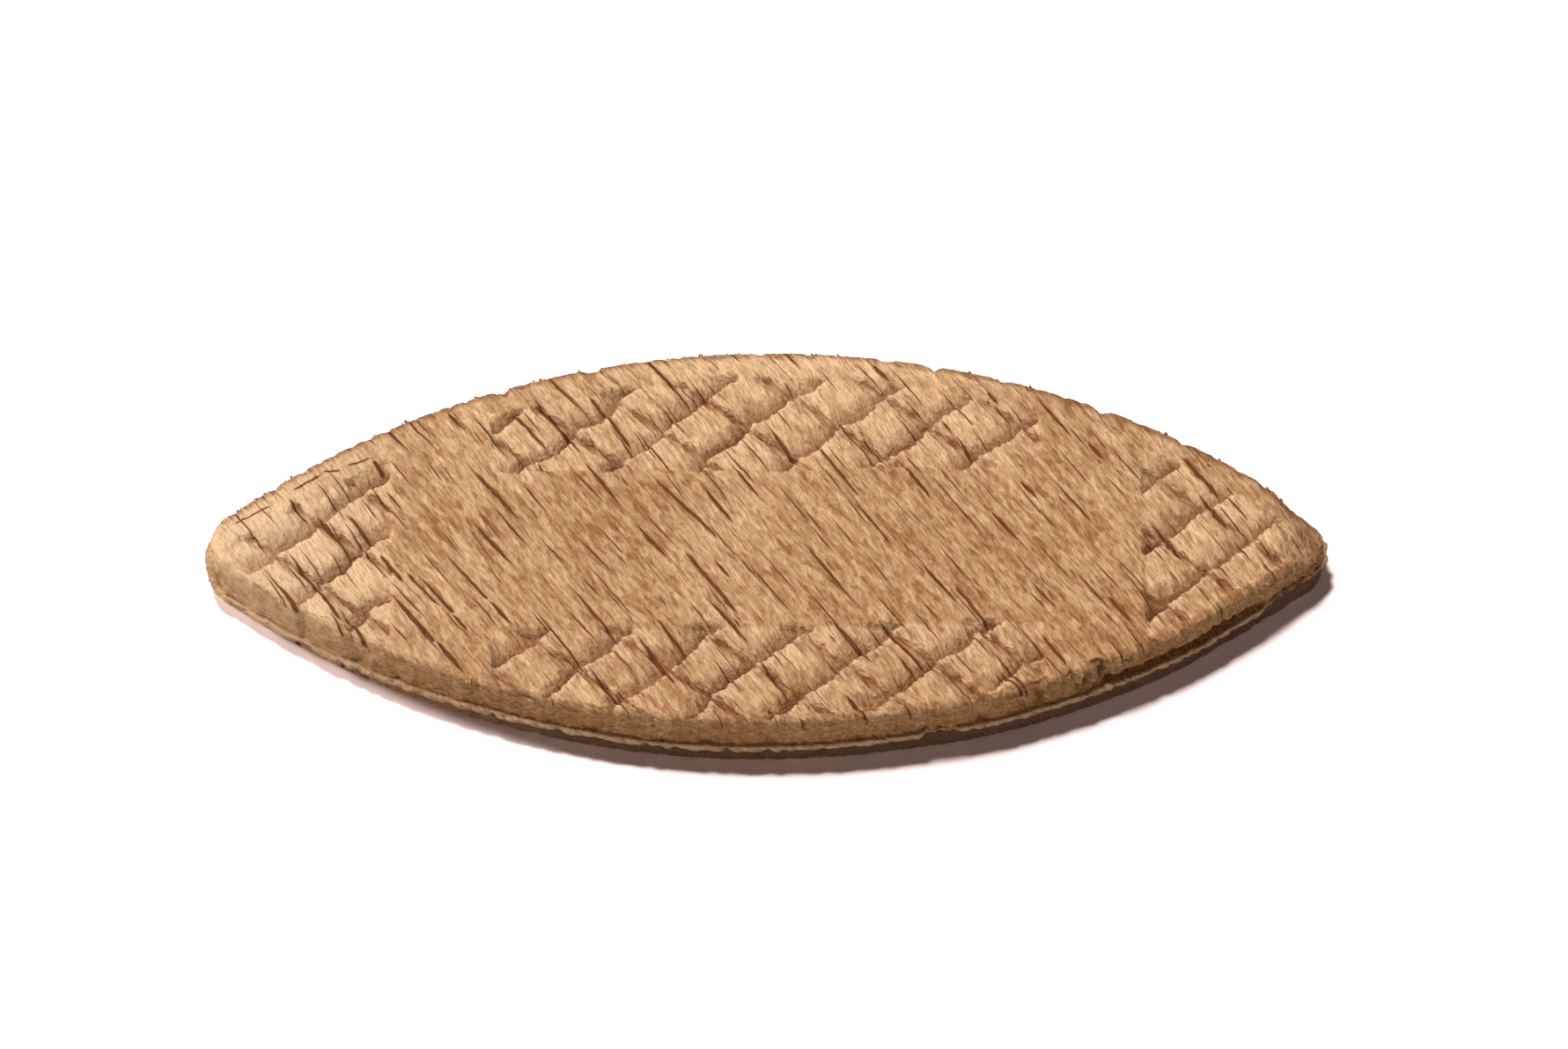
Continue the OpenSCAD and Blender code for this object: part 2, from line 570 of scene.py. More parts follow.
@dataclass(frozen=True)
class Pressing:
    """The punched pattern, whose layout has the names and values of the part's source.

    In a Geometry Nodes graph each size is a named input, and in a material a number.

    Attributes:
        slope_w: How wide a pad's slope into a groove is.
        step_w: How wide the broken step beyond a groove is.
        groove_rag: How far the fibres tear a groove aside.
        groove_bend: How far a groove bends.
        along_share: Depth of the grooves near the fibres, as a share of the others.
        stagger: How far the strips of pads are set off from each other, in pads.
        pad_bow: How far the end of a strip bows, in pads.
        strip_w: Width of the strips in which fibres tear off.
    """

    pad_l: Operand = 4.45
    pad_w: Operand = 3.67
    slope_w: Operand = 1.15
    step_w: Operand = 0.17
    groove_rag: Operand = 0.3
    groove_bend: Operand = 0.45
    along_share: Operand = 0.95
    stagger: Operand = 0.12
    pad_bow: Operand = 0.25
    strip_w: Operand = 0.42
    panel_w: Operand = 9.3
    side_l: Operand = 27.3
    band_l: Operand = 5.05
    first_row: Operand = 0.55
    side_phase: Operand = -0.45
    end_phase: Operand = 3.3
    press_shift: Operand = -0.8
    press_turn: Operand = math.radians(0.5)
    press_r: Operand = 41.2
    side_offset: Operand = 31.0

    @classmethod
    def on(cls, blank: Blank) -> "Pressing":
        """Fits the pattern to a blank."""
        return cls(press_r=blank.side_r - blank.border, side_offset=blank.side_offset)

    def crossed(self, graph: Graph, u: Operand, v: Operand, tear: Value, seam: Value) -> PadMarks:
        """Finds the pads of one crossed pattern, which overlap like shingles.

        Args:
            graph: The graph.
            u: Distance along the biscuit from a crossing.
            v: Distance across it from that crossing.
            tear: How far the grooves near the fibres are torn aside, across the fibres.
            seam: Whether the place is on a seam between two torn strips, from 0 to 1.

        Returns:
            The marks there.
        """
        diagonal = (self.pad_l * self.pad_l + self.pad_w * self.pad_w) ** 0.5
        sine, cosine = self.pad_w / diagonal, self.pad_l / diagonal
        spacing = self.pad_l * sine
        tear_x, tear_y = tear * -GRAIN_Y, tear * GRAIN_X
        falls = ((u + tear_x) * sine + (v + tear_y) * cosine) / spacing
        rises = (u * sine - v * cosine) / spacing
        row = graph.maths("FLOOR", falls)
        one_way = {"noise_dimensions": "1D"}
        strip = graph.value("ShaderNodeTexWhiteNoise", 0, one_way, {"W": row + 0.5})
        # Each strip of pads ends a little sooner or later, in a bow
        bow = (falls - row - 0.5) ** 2.0
        rises = rises + (strip - 0.5) * self.stagger + bow * self.pad_bow
        column = graph.maths("FLOOR", rises)
        chance = graph.add(
            "ShaderNodeTexWhiteNoise",
            {"noise_dimensions": "3D"},
            {"Vector": graph.vector(row, column, 7.0)},
        )
        low, deep, wide = graph.parts(chance.outputs["Color"])
        # Grooves that fall to the right run near the fibres, so they are narrower and less deep
        beside, beyond = (falls - row) * spacing, (rises - column) * spacing
        slope = self.slope_w * (wide * 0.6 + 0.7)
        flat_end = (beyond - spacing) / slope + 1.0
        flat_side = (beside - spacing) / (slope * 0.6) + 1.0
        along = graph.most(flat_side, 0.0) ** 1.6
        along = graph.most(along, beside.ramp(self.step_w, 0.0, Ease.STRAIGHT)) * self.along_share
        down = graph.most(flat_end, 0.0) ** 1.7
        down = graph.most(down, beyond.ramp(self.step_w, 0.0, Ease.STRAIGHT))
        depth = graph.most(down, along) * (deep * 0.5 + 0.7)
        step = graph.most((beyond - spacing).ramp(-0.24, -0.05), beyond.ramp(0.12, 0.02))
        side_step = graph.most((beside - spacing).ramp(-0.14, -0.03), beside.ramp(0.09, 0.02)) * 0.6
        torn_side = graph.most((beside - spacing).ramp(-0.5, -0.2), beside.ramp(0.35, 0.1)) * seam
        side_step = graph.most(side_step, torn_side)
        step = graph.most(step * (deep * 0.6 + 0.4), side_step * (low * 0.5 + 0.5))
        # Just beyond each step: frayed fibres, and the lit edge that gets a painted highlight
        frayed_and_painted_highlight = beyond.ramp(0.05, 0.16) * beyond.ramp(0.7, 0.2)
        frayed_side = beside.ramp(0.05, 0.14) * beside.ramp(0.4, 0.15) * 0.6
        return PadMarks(depth, low, step, graph.most(frayed_and_painted_highlight, frayed_side))

    def marks(self, place: WoodPlace) -> PadMarks:
        """Finds what the pressing does on a face, where grooves follow the broken fibres.

        Args:
            place: Where it is read.

        Returns:
            The marks there.
        """
        graph = place.graph
        rag = (place.fibre_noise(0.35, 2.8, 2.0, 4.0, True) - 0.5) * self.groove_rag
        bend = (place.fibre_noise(0.25, 0.4, 47.0, 1.0, True) - 0.5) * self.groove_bend
        # Fibres tear off in strips, so a groove that runs near them goes down in steps
        strips = place.across / self.strip_w + place.fibre_noise(0.15, 0.3, 77.0, 1.0, True) * 3.0
        tear = (graph.maths("FLOOR", strips) + 0.5 - strips) * self.strip_w
        seam = abs(tear).ramp(self.strip_w * 0.36, self.strip_w * 0.47)
        tear = tear * 0.5
        place = place.moved_along((rag + bend) * 2.0)
        # The turn is so small that its sine serves for both
        shifted = place.y - self.press_shift
        x, v = place.x + shifted * self.press_turn, shifted - place.x * self.press_turn
        side_x, side_v = graph.maths("SIGN", x), graph.maths("SIGN", v)
        inside_lens = self.press_r - (x * x + (abs(v) + self.side_offset) ** 2.0) ** 0.5
        side_row = self.panel_w * 0.5 + self.first_row + self.pad_w * 0.5
        end_start = self.side_l * 0.5 + self.band_l
        end_crossing = end_start + self.end_phase - self.pad_l * 0.5
        fields_here = (
            (
                graph.least(self.side_l * 0.5 - abs(x), abs(v) - self.panel_w * 0.5, inside_lens),
                self.crossed(graph, x - self.side_phase, v - side_v * side_row, tear, seam),
            ),
            (
                graph.least(abs(x) - end_start, inside_lens),
                self.crossed(graph, x - side_x * end_crossing, v, tear, seam),
            ),
        )
        sums = dict.fromkeys((f.name for f in fields(PadMarks)), 0.0)
        for inside, marks in fields_here:
            share = inside.ramp(-0.08, 0.14)
            for name in sums:
                sums[name] = share * getattr(marks, name) + sums[name]
        return PadMarks(**sums)


@dataclass(frozen=True)
class EdgeDamage:
    """Places of the damage to the edge, along the biscuit.

    The split in the front flank and the break in its flash have the source's names and values.

    Attributes:
        flash_end: Where the front flash ends, short of the right tip.
        hole: Where a hole in the front flank lies, from and to.
        hole_z: Height of its middle.
        crumbled: Where the front shoulder is crumbled, from and to.
        notches: Middles of the notches in the back edge.
        worn: Middle of the worn side of the right tip, along and across.
        worn_r: How far from there the wear reaches.
        split_fade: Length of each soft end of the split, and the same for the others.
    """

    split_start: float = 16.6
    split_l: float = 7.9
    split_h: float = 0.28
    split_lift: float = 0.04
    break_start: float = 7.9
    break_l: float = 1.5
    flash_end: float = 24.8
    hole: tuple[float, float] = (25.3, 26.9)
    hole_z: float = 0.3
    crumbled: tuple[float, float] = (13.0, 18.6)
    notches: tuple[float, ...] = (-13.0, -8.4, 8.6, 16.9)
    worn: tuple[float, float] = (27.0, 2.4)
    worn_r: float = 3.0
    split_fade: float = 0.6
    break_fade: float = 0.15
    hole_fade: float = 0.3
    crumbled_fade: float = 1.6

    def stretch(self, place: WoodPlace, start: float, end: float, fade: float) -> Value:
        """Finds a stretch of the front edge, which fades out round both its ends."""
        within = place.x.ramp(start - fade, start + fade) * place.x.ramp(end + fade, end - fade)
        return within * place.y.ramp(0.0, -1.0)

    def split(self, place: WoodPlace, blank: Blank) -> Value:
        """Finds the split in the front flank.

        Args:
            place: Where it is read.
            blank: The blank, whose flash it runs above.

        Returns:
            1 in the split and 0 outside.
        """
        middle = blank.flash_t / 2 + self.split_lift + self.split_h / 2
        wander = (place.even_noise(0.9, 15.0, 3.0) - 0.5) * 0.35
        level = abs(place.z - middle - wander)
        mouth = level.ramp(self.split_h * 0.45, self.split_h * 0.25)
        end = self.split_start + self.split_l
        mouth = mouth * self.stretch(place, self.split_start, end, self.split_fade)
        hole = abs(place.z - self.hole_z - wander).ramp(0.25, 0.1)
        return place.graph.most(mouth, hole * self.stretch(place, *self.hole, self.hole_fade))

    def gap(self, place: WoodPlace) -> Value:
        """Finds where the flash has broken away.

        Args:
            place: Where it is read.

        Returns:
            1 where it is gone and 0 elsewhere.
        """
        end = self.break_start + self.break_l
        broken = self.stretch(place, self.break_start, end, self.break_fade)
        ended = place.x.ramp(self.flash_end - 0.3, self.flash_end + 0.3)
        return place.graph.most(broken, ended * place.y.ramp(-0.8, -1.4))

    def crumbling(self, place: WoodPlace) -> Value:
        """Finds the crumbled part of the front shoulder, from 0 to 1."""
        return self.stretch(place, *self.crumbled, self.crumbled_fade)

    def notch(self, place: WoodPlace) -> Value:
        """Finds the notches in the back edge.

        Args:
            place: Where it is read.

        Returns:
            1 at the deepest of each notch and 0 outside.
        """
        tops = []
        for middle in self.notches:
            # Each is steep on its right side, where the fibres broke
            offset = place.x - middle
            steep = offset.ramp(0.15, 0.0, Ease.STRAIGHT)
            tops.append(offset.ramp(-0.8, 0.0, Ease.STRAIGHT) * steep)
        return place.graph.most(*tops) * place.y.ramp(0.0, 1.0)

    def worn_tip(self, place: WoodPlace) -> Value:
        """Finds the worn side of the right tip, from 0 to 1."""
        x, y = place.x - self.worn[0], place.y - self.worn[1]
        return ((x**2.0 + y**2.0) ** 0.5).ramp(self.worn_r, 0.0)


@dataclass(frozen=True)
class Wear:
    """How far the pressing, the tearing and the wear move the skin, in mm or as a share.

    Attributes:
        groove_d: Depth about which the grooves vary. In the source they are even, at 0.36.
        fibre_d: Depth between the raised fibres.
        vessel_d: Depth of an open vessel.
        roll_d: How far the border of a face is rolled down.
        tip_crush: Share by which the upper half of the right tip is thinner.
        front_bulge: How far the front edge bulges at the right.
        front_lift: Share of its way up to the face by which the front shoulder is raised.
        flash_sink: Scale of the sinking of the front flash.
        flank_rough: Depth of the torn flank.
        flash_rag: Depth of the ragged flash.
        outline_rag: Depth of the ragged outline.
        pad_unevenness: Height between the lowest and the highest pad.
        notch_d: Depth of the notches.
        crumble_d: Depth of the crumbled shoulder.
        split_d: Depth of the split.
        tip_wear: Depth of the wear on the right tip.
    """

    groove_d: Operand = 0.46
    fibre_d: Operand = 0.1
    vessel_d: Operand = 0.08
    roll_d: Operand = 0.16
    tip_crush: Operand = 0.5
    front_bulge: Operand = 0.16
    front_lift: Operand = 0.45
    flash_sink: Operand = 1.0
    flank_rough: Operand = 0.16
    flash_rag: Operand = 0.16
    outline_rag: Operand = 0.24
    pad_unevenness: Operand = 0.12
    notch_d: Operand = 0.2
    crumble_d: Operand = 0.34
    split_d: Operand = 0.6
    tip_wear: Operand = 0.25


class NodesTool:
    """A Geometry Nodes tree with named inputs, and the modifier that runs it."""

    def __init__(self, name: str, *sizes: object) -> None:
        """Starts the tree.

        Args:
            name: The tree's name.
            sizes: Dataclasses, whose fields become the named inputs.
        """
        self.tree = bpy.data.node_groups.new(name, "GeometryNodeTree")
        self.graph = Graph(self.tree)
        new_socket = self.tree.interface.new_socket
        for in_out in ("INPUT", "OUTPUT"):
            new_socket("Geometry", in_out=in_out, socket_type="NodeSocketGeometry")
        self.values: dict[str, float] = {}
        for group in sizes:
            for field in fields(group):
                socket = new_socket(field.name, in_out="INPUT", socket_type="NodeSocketFloat")
                self.values[socket.identifier] = getattr(group, field.name)
        self.start = self.graph.add("NodeGroupInput")
        self.end = self.graph.add("NodeGroupOutput")

    def size(self, label: str) -> Value:
        """Gives a named input as a value."""
        return Value(self.graph, self.start.outputs[label])

    def read(self, kind: type[Sizes]) -> Sizes:
        """Gives the named inputs that came from a dataclass as one of its kind."""
        return kind(**{field.name: self.size(field.name) for field in fields(kind)})

    def named(self, label: str, kind: str = "FLOAT") -> bpy.types.NodeSocket:
        """Reads an attribute of the mesh.

        Args:
            label: Its name.
            kind: Its data type.

        Returns:
            The socket that carries it.
        """
        settings = {"data_type": kind}
        node = self.graph.add("GeometryNodeInputNamedAttribute", settings, {"Name": label})
        return node.outputs[0]

    def place(self) -> WoodPlace:
        """Gives the place of each point."""
        return WoodPlace.at(self.graph, self.graph.add("GeometryNodeInputPosition").outputs[0])

    def finish(self, geometry: bpy.types.NodeSocket, material: bpy.types.Material) -> None:
        """Ends the tree in Realize Instances and Set Material.

        Args:
            geometry: What the tree has made.
            material: The material that it gets.
        """
        real = self.graph.add("GeometryNodeRealizeInstances", None, {0: geometry}).outputs[0]
        inputs = {0: real, "Material": material}
        dressed = self.graph.add("GeometryNodeSetMaterial", None, inputs)
        self.graph.feed(self.end.inputs[0], dressed.outputs[0])

    def run(self, piece: bpy.types.Object) -> None:
        """Runs the tree on an object, which keeps the result as a plain mesh.

        Args:
            piece: The object.
        """
        modifier = piece.modifiers.new(self.tree.name, "NODES")
        modifier.node_group = self.tree
        for identifier, size in self.values.items():
            modifier[identifier] = size
        depsgraph = bpy.context.evaluated_depsgraph_get()
        mesh = bpy.data.meshes.new_from_object(
            piece.evaluated_get(depsgraph), preserve_all_data_layers=True, depsgraph=depsgraph
        )
        piece.modifiers.remove(modifier)
        piece.data = mesh
        mesh.name = piece.name


def new_piece(name: str, mesh: bpy.types.Mesh) -> bpy.types.Object:
    """Puts a mesh into the scene as an object at the origin.

    Args:
        name: The object's name.
        mesh: Its mesh.

    Returns:
        The object.
    """
    piece = bpy.data.objects.new(name, mesh)
    bpy.context.scene.collection.objects.link(piece)
    return piece


@dataclass(frozen=True)
class BeechFinish:
    """Bare pressed beech: fibre streaks, open vessels, grooves and a torn edge, with painted shade
    in the grooves, hollows and lower flank, and painted light and highlights.
    """

    light: tuple = srgb(255, 208, 158)
    dark: tuple = srgb(170, 114, 69)
    # Frayed fibres, and a painted highlight on the lit edge beyond each step
    frayed_and_painted_highlight: tuple = srgb(252, 212, 168)
    # Lighter tone toward the left end
    lighter_left_end: tuple = srgb(236, 204, 166)
    slit: tuple = srgb(124, 66, 30)
    # Painted shade in the grooves and on the back rim, and a browner tone round open vessels
    groove: tuple = srgb(142, 84, 44)
    # Lighter, warmer edge: painted light
    flank: tuple = srgb(226, 166, 106)
    # Torn fibres on the edge, with painted shade
    torn: tuple = srgb(182, 124, 76)
    # Painted shade on the lower flank
    under: tuple = srgb(104, 72, 60)
    # Painted shade in the split and among the crumbled lumps
    painted_hollow_shade: tuple = srgb(88, 44, 27)
    # Painted highlight on the top of the flash
    flash: tuple = srgb(222, 180, 140)
    roughness: float = 0.72
    specular: float = 0.1
    # Height in metres that a relief of 1 stands for
    bump_m: float = 0.0003
    # First x and y, last x and y, and half width of each large crack or vessel
    cracks: tuple[tuple[float, ...], ...] = (
        (-26.6, 0.8, -24.4, 2.1, 0.045),
        (-23.6, 2.8, -22.0, 3.9, 0.055),
        (-22.1, 3.95, -21.1, 4.0, 0.05),
        (-20.9, 4.25, -19.6, 4.75, 0.055),
        (-19.6, 4.6, -18.9, 3.6, 0.13),
        (-20.9, 1.4, -19.3, -0.8, 0.1),
        (-19.3, -1.0, -17.9, -2.9, 0.09),
        (-18.0, -2.1, -16.1, -4.4, 0.08),
        (-23.8, 2.4, -22.7, 0.8, 0.08),
        (-22.2, -3.2, -21.0, -5.1, 0.08),
        (-12.7, 7.5, -10.8, 5.0, 0.1),
        (-14.6, 3.9, -12.1, 0.7, 0.1),
        (-8.9, 8.4, -7.0, 6.0, 0.08),
        (-5.7, 3.5, -2.1, -0.6, 0.1),
        (-4.2, -0.8, -1.2, -5.2, 0.11),
        (9.2, -3.0, 11.2, -6.0, 0.1),
        (11.4, -8.1, 13.3, -10.3, 0.08),
        (13.5, -6.0, 14.9, -8.1, 0.09),
        (16.8, -3.8, 18.2, -5.6, 0.09),
        (20.6, 4.6, 22.7, 1.8, 0.14),
    )

    def material(self, pressing: Pressing, blank: Blank) -> bpy.types.Material:
        """Builds the material.

        Args:
            pressing: The pattern, whose grooves are darker.
            blank: The blank, whose edge is torn.

        Returns:
            The material.
        """
        material = bpy.data.materials.new("pressed_beech")
        graph = Graph.of(material)
        place = WoodPlace.at(graph, graph.add("ShaderNodeTexCoord").outputs["Object"])
        edge, flash, painted_hollow_shade, inset, height = (
            graph.value("ShaderNodeAttribute", 2, {"attribute_name": name})
            for name in ("edge_share", "flash_share", "painted_hollow_shade", "inset", "height")
        )
        marks = pressing.marks(place)
        face = abs(place.z).ramp(blank.face_z - 0.9, blank.face_z - 0.6)
        left_end = place.x.ramp(-16.0, -25.0)

        # Grain
        streaks = place.fibre_noise(0.25, 2.4, 5.0, 4.0)
        fine = place.fibre_noise(0.9, 6.6, 11.0, 4.0)
        crumbs = place.fibre_noise(1.8, 5.2, 37.0, 4.0)
        flakes = place.flakes(0.62, 0.26, 91.0)
        cloud = place.even_noise(0.16, 23.0, 2.0)
        tone = streaks * 0.4 + fine * 0.35 + crumbs * 0.45 + cloud * 0.3 + (flakes - 0.5) * 0.16
        # Lighter toward the back and along the back rim: painted light. Also lighter toward the
        # left end and over the pressed fields
        pale = place.y * 0.005 - place.x * 0.001 + left_end * 0.2 + place.y.ramp(7.5, 11.0) * 0.12
        pale = pale + marks.pressed * 0.09 - 0.05
        tone = (tone + pale).ramp(0.55, 0.96, Ease.STRAIGHT)

        # Pressed and torn places, with painted shade and painted highlights
        # Dark line along each pad's broken step: broken fibres and painted shade in the crease,
        # less toward the left end
        broken = marks.step * face * crumbs.ramp(0.3, 0.5) * (1.0 - left_end * 0.4)
        frayed_and_painted_highlight = marks.frayed_and_painted_highlight * face * crumbs.ramp(0.38, 0.6)
        # Torn fibres on the edge, darker toward the flash and less toward the left end: torn fibres
        # and painted shade
        rough = crumbs.ramp(0.62, 0.4) * 0.7 + 0.2
        torn = edge * height.ramp(1.3, 0.3) * rough * (1.0 - left_end * 0.55)
        # Browner along the back rim: torn end fibres and painted shade
        back = place.y.ramp(0.0, 2.0) * inset.ramp(1.0, 0.62) * crumbs.ramp(0.3, 0.55)
        # Painted shade on the lower flank, less toward the left end
        under = edge.ramp(0.0, 0.5) * height.ramp(0.0, -0.3)
        under = under * (place.x.ramp(-24.0, -8.0) * 0.7 + 0.22)
        # Painted highlight on the top of the flash
        flash = flash * height.ramp(-0.2, 0.0) * streaks.ramp(0.3, 0.5)

        # Open vessels and cracks
        small = place.slits(SMALL_VESSELS) - 0.15
        opened = graph.most(place.cracks(self.cracks), place.slits(LARGE_VESSELS), small)
        opened = opened + (crumbs - 0.5) * 0.8
        slits = opened.ramp(0.08, 0.38) * face

        colour = graph.mix(tone, self.dark, self.light)
        for share, shade in (
            (left_end * 0.3, self.lighter_left_end),
            # Painted shade in the grooves
            (marks.depth * face * 0.75, self.groove),
            (broken * 0.85, self.slit),
            (frayed_and_painted_highlight * 0.5, self.frayed_and_painted_highlight),
            # Painted light: a lighter, warmer edge
            (edge * 0.4, self.flank),
            (torn, self.torn),
            (back * 0.8, self.groove),
            (painted_hollow_shade, self.painted_hollow_shade),
            (under, self.under),
            (flash * 0.85, self.flash),
            (opened.ramp(-1.4, 0.3) * face * 0.3, self.groove),
            (slits * 0.95, self.slit),
        ):
            colour = graph.mix(share, colour, shade)
        relief = streaks * 0.2 + fine * 0.5 + crumbs * (edge * 0.4 + 1.0)
        relief = relief + flakes * 0.3 - slits * 0.4
        heights = {"Strength": 1.0, "Distance": self.bump_m, "Height": relief}
        shader = graph.add(
            "ShaderNodeBsdfPrincipled",
            None,
            {
                "Base Color": colour,
                "Roughness": self.roughness,
                "Normal": graph.add("ShaderNodeBump", None, heights).outputs[0],
                "Specular IOR Level": self.specular,
            },
        )
        graph.add("ShaderNodeOutputMaterial", None, {"Surface": shader.outputs[0]})
        return material


@dataclass
class PressedBiscuit:
    """The biscuit itself, one closed piece with the pattern pressed into both faces."""

    blank: Blank
    pressing: Pressing
    damage: EdgeDamage
    wear: Wear = Wear()
    side_steps: int = 340
    tip_steps: int = 46
    # Rows round the shoulder, down the flank and out along the flash
    upper_rows: tuple[int, int, int] = (7, 9, 2)
    lower_rows: tuple[int, int, int] = (5, 5, 2)
    upper_spacing: float = 0.138
    lower_spacing: float = 0.23
    along_stretch: float = 1.35
    # Points nearer than this are joined when the faces are made
    nearness: float = 1e-7

    def face_points(self, spacing: float) -> list[Vector]:
        """Scatters an even lattice over a face, a little wider along the fibres.

        Args:
            spacing: Distance between points.

        Returns:
            The points, seen from above.
        """
        along_step = spacing * self.along_stretch
        across_step = spacing / self.along_stretch * math.sqrt(3) / 2
        along = Vector((GRAIN_X, GRAIN_Y))
        across = Vector((-along.y, along.x))
        reach = self.blank.length / 2
        points = []
        for row in range(-int(reach / across_step), int(reach / across_step) + 1):
            for step in range(-int(reach / along_step), int(reach / along_step) + 1):
                point = along * ((step + row % 2 / 2) * along_step) + across * (row * across_step)
                if self.blank.inset(*point) > self.blank.face_inset + spacing * 0.6:
                    points.append(point)
        return points

    def face_triangles(self, ring: list[Vector], inner: list[Vector]) -> list[tuple[int, int, int]]:
        """Joins a ring and the points inside it into triangles.

        Args:
            ring: The ring, anticlockwise.
            inner: The points inside.

        Returns:
            The triangles, as numbers into ring + inner, anticlockwise.
        """
        turned = []
        for point in ring + inner:
            along = point.x * GRAIN_X + point.y * GRAIN_Y
            across = -point.x * GRAIN_Y + point.y * GRAIN_X
            turned.append(Vector((along / self.along_stretch**2, across)))
        edges = [(i, (i + 1) % len(ring)) for i in range(len(ring))]
        _, _, faces, sources, _, _ = delaunay_2d_cdt(turned, edges, [], 1, self.nearness)
        return [tuple(sources[i][0] for i in face) for face in faces]

    def skin(self) -> bpy.types.Mesh:
        """Makes the plain closed skin of the blank.

        Returns:
            The mesh, with the inset and outward direction of each point as attributes.
        """
        blank = self.blank
        upper = blank.section(*self.upper_rows)
        lower = [(inset, -z) for inset, z in reversed(blank.section(*self.lower_rows))]
        rows = [*upper, (0.0, blank.flash_t / 6), (0.0, -blank.flash_t / 6), *lower]
        points, insets, outwards, faces = [], [], [], []
        for inset, z in rows:
            for place, out in blank.ring(inset, self.side_steps, self.tip_steps):
                points.append((place.x, place.y, z))
                insets.append(inset)
                outwards.extend((out.x, out.y, 0.0))
        count = len(points) // len(rows)
        for row in range(len(rows) - 1):
            for i in range(count):
                j = (i + 1) % count
                high, low = row * count, (row + 1) * count
                faces.append((high + i, low + i, low + j, high + j))
        for first, spacing, z in (
            (0, self.upper_spacing, blank.face_z),
            ((len(rows) - 1) * count, self.lower_spacing, -blank.face_z),
        ):
            ring = [Vector(points[first + i][:2]) for i in range(count)]
            inner = self.face_points(spacing)
            numbers = [*range(first, first + count), *range(len(points), len(points) + len(inner))]
            triangles = self.face_triangles(ring, inner)
            for point in inner:
                points.append((point.x, point.y, z))
                insets.append(blank.inset(*point))
                out = Vector((point.x, point.y)).normalized()
                outwards.extend((out.x, out.y, 0.0))
            for triangle in triangles:
                corners = [numbers[i] for i in triangle]
                faces.append(tuple(corners if z > 0 else reversed(corners)))
        mesh = bpy.data.meshes.new("beech_blank")
        mesh.from_pydata([tuple(c * MM for c in point) for point in points], [], faces)
        mesh.attributes.new("inset", "FLOAT", "POINT").data.foreach_set("value", insets)
        mesh.attributes.new("outward", "FLOAT_VECTOR", "POINT").data.foreach_set("vector", outwards)
        mesh.shade_smooth()
        return mesh

    def drop(self, place: WoodPlace, inset: Value, pressing: Pressing, wear: Wear) -> Value:
        """Finds how far the skin goes down.

        Args:
            place: Where it is read.
            inset: How far inside the outline that is.
            pressing: The pattern, from the named inputs.
            wear: The depths, from the named inputs.

        Returns:
            The distance in mm, below 0 where the skin goes up.
        """
        blank, level = self.blank, abs(place.z)
        on_face = level.ramp(blank.face_z - 0.03, blank.face_z - 0.01, Ease.STRAIGHT)
        marks = pressing.marks(place)
        uneven = place.even_noise(0.28, 9.0, 1.0) * 0.7 + 0.6
        shallow = 1.0 - place.x.ramp(15.0, 24.0) * 0.3
        depth = marks.depth * wear.groove_d * uneven * shallow
        depth = depth + marks.low * wear.pad_unevenness
        fibres = place.fibre_noise(0.6, 3.4, 31.0, 3.0, True)
        slits = place.slits(LARGE_VESSELS).ramp(0.0, 0.5)
        depth = depth + fibres * wear.fibre_d + slits * wear.vessel_d
        rolled = inset.ramp(blank.face_inset + 1.5, blank.face_inset - 0.3)
        rolled = rolled * (place.y.ramp(-1.0, 1.0) * 0.65 + 0.35)
        crown = level.ramp(blank.face_z - blank.shoulder_r, blank.face_z, Ease.STRAIGHT)
        crushed = place.x.ramp(24.6, 27.8) * inset.ramp(2.6, 0.5) * place.z.ramp(0.0, 0.3)
        sink = depth * on_face + rolled * crown * wear.roll_d + crushed * level * wear.tip_crush
        # The flash of the front edge sinks towards the left end
        sunken = place.x.ramp(16.0, -9.0) * 0.3 + place.x.ramp(-12.0, -27.0) * 0.65
        on_edge = inset.ramp(blank.face_inset, blank.flash_w + blank.flank_lean)
        sunken = sunken * place.y.ramp(0.0, -1.5) * on_edge
        sunken = sunken * level.ramp(blank.face_z, 0.0, Ease.STRAIGHT)
        lift = place.z.ramp(0.1, 1.3) * place.y.ramp(-1.0, -3.0) * place.x.ramp(25.6, 23.0)
        lift = lift * (blank.face_z - place.z) * wear.front_lift
        side = place.graph.maths("SIGN", place.z)
        return side * sink + sunken * wear.flash_sink - lift

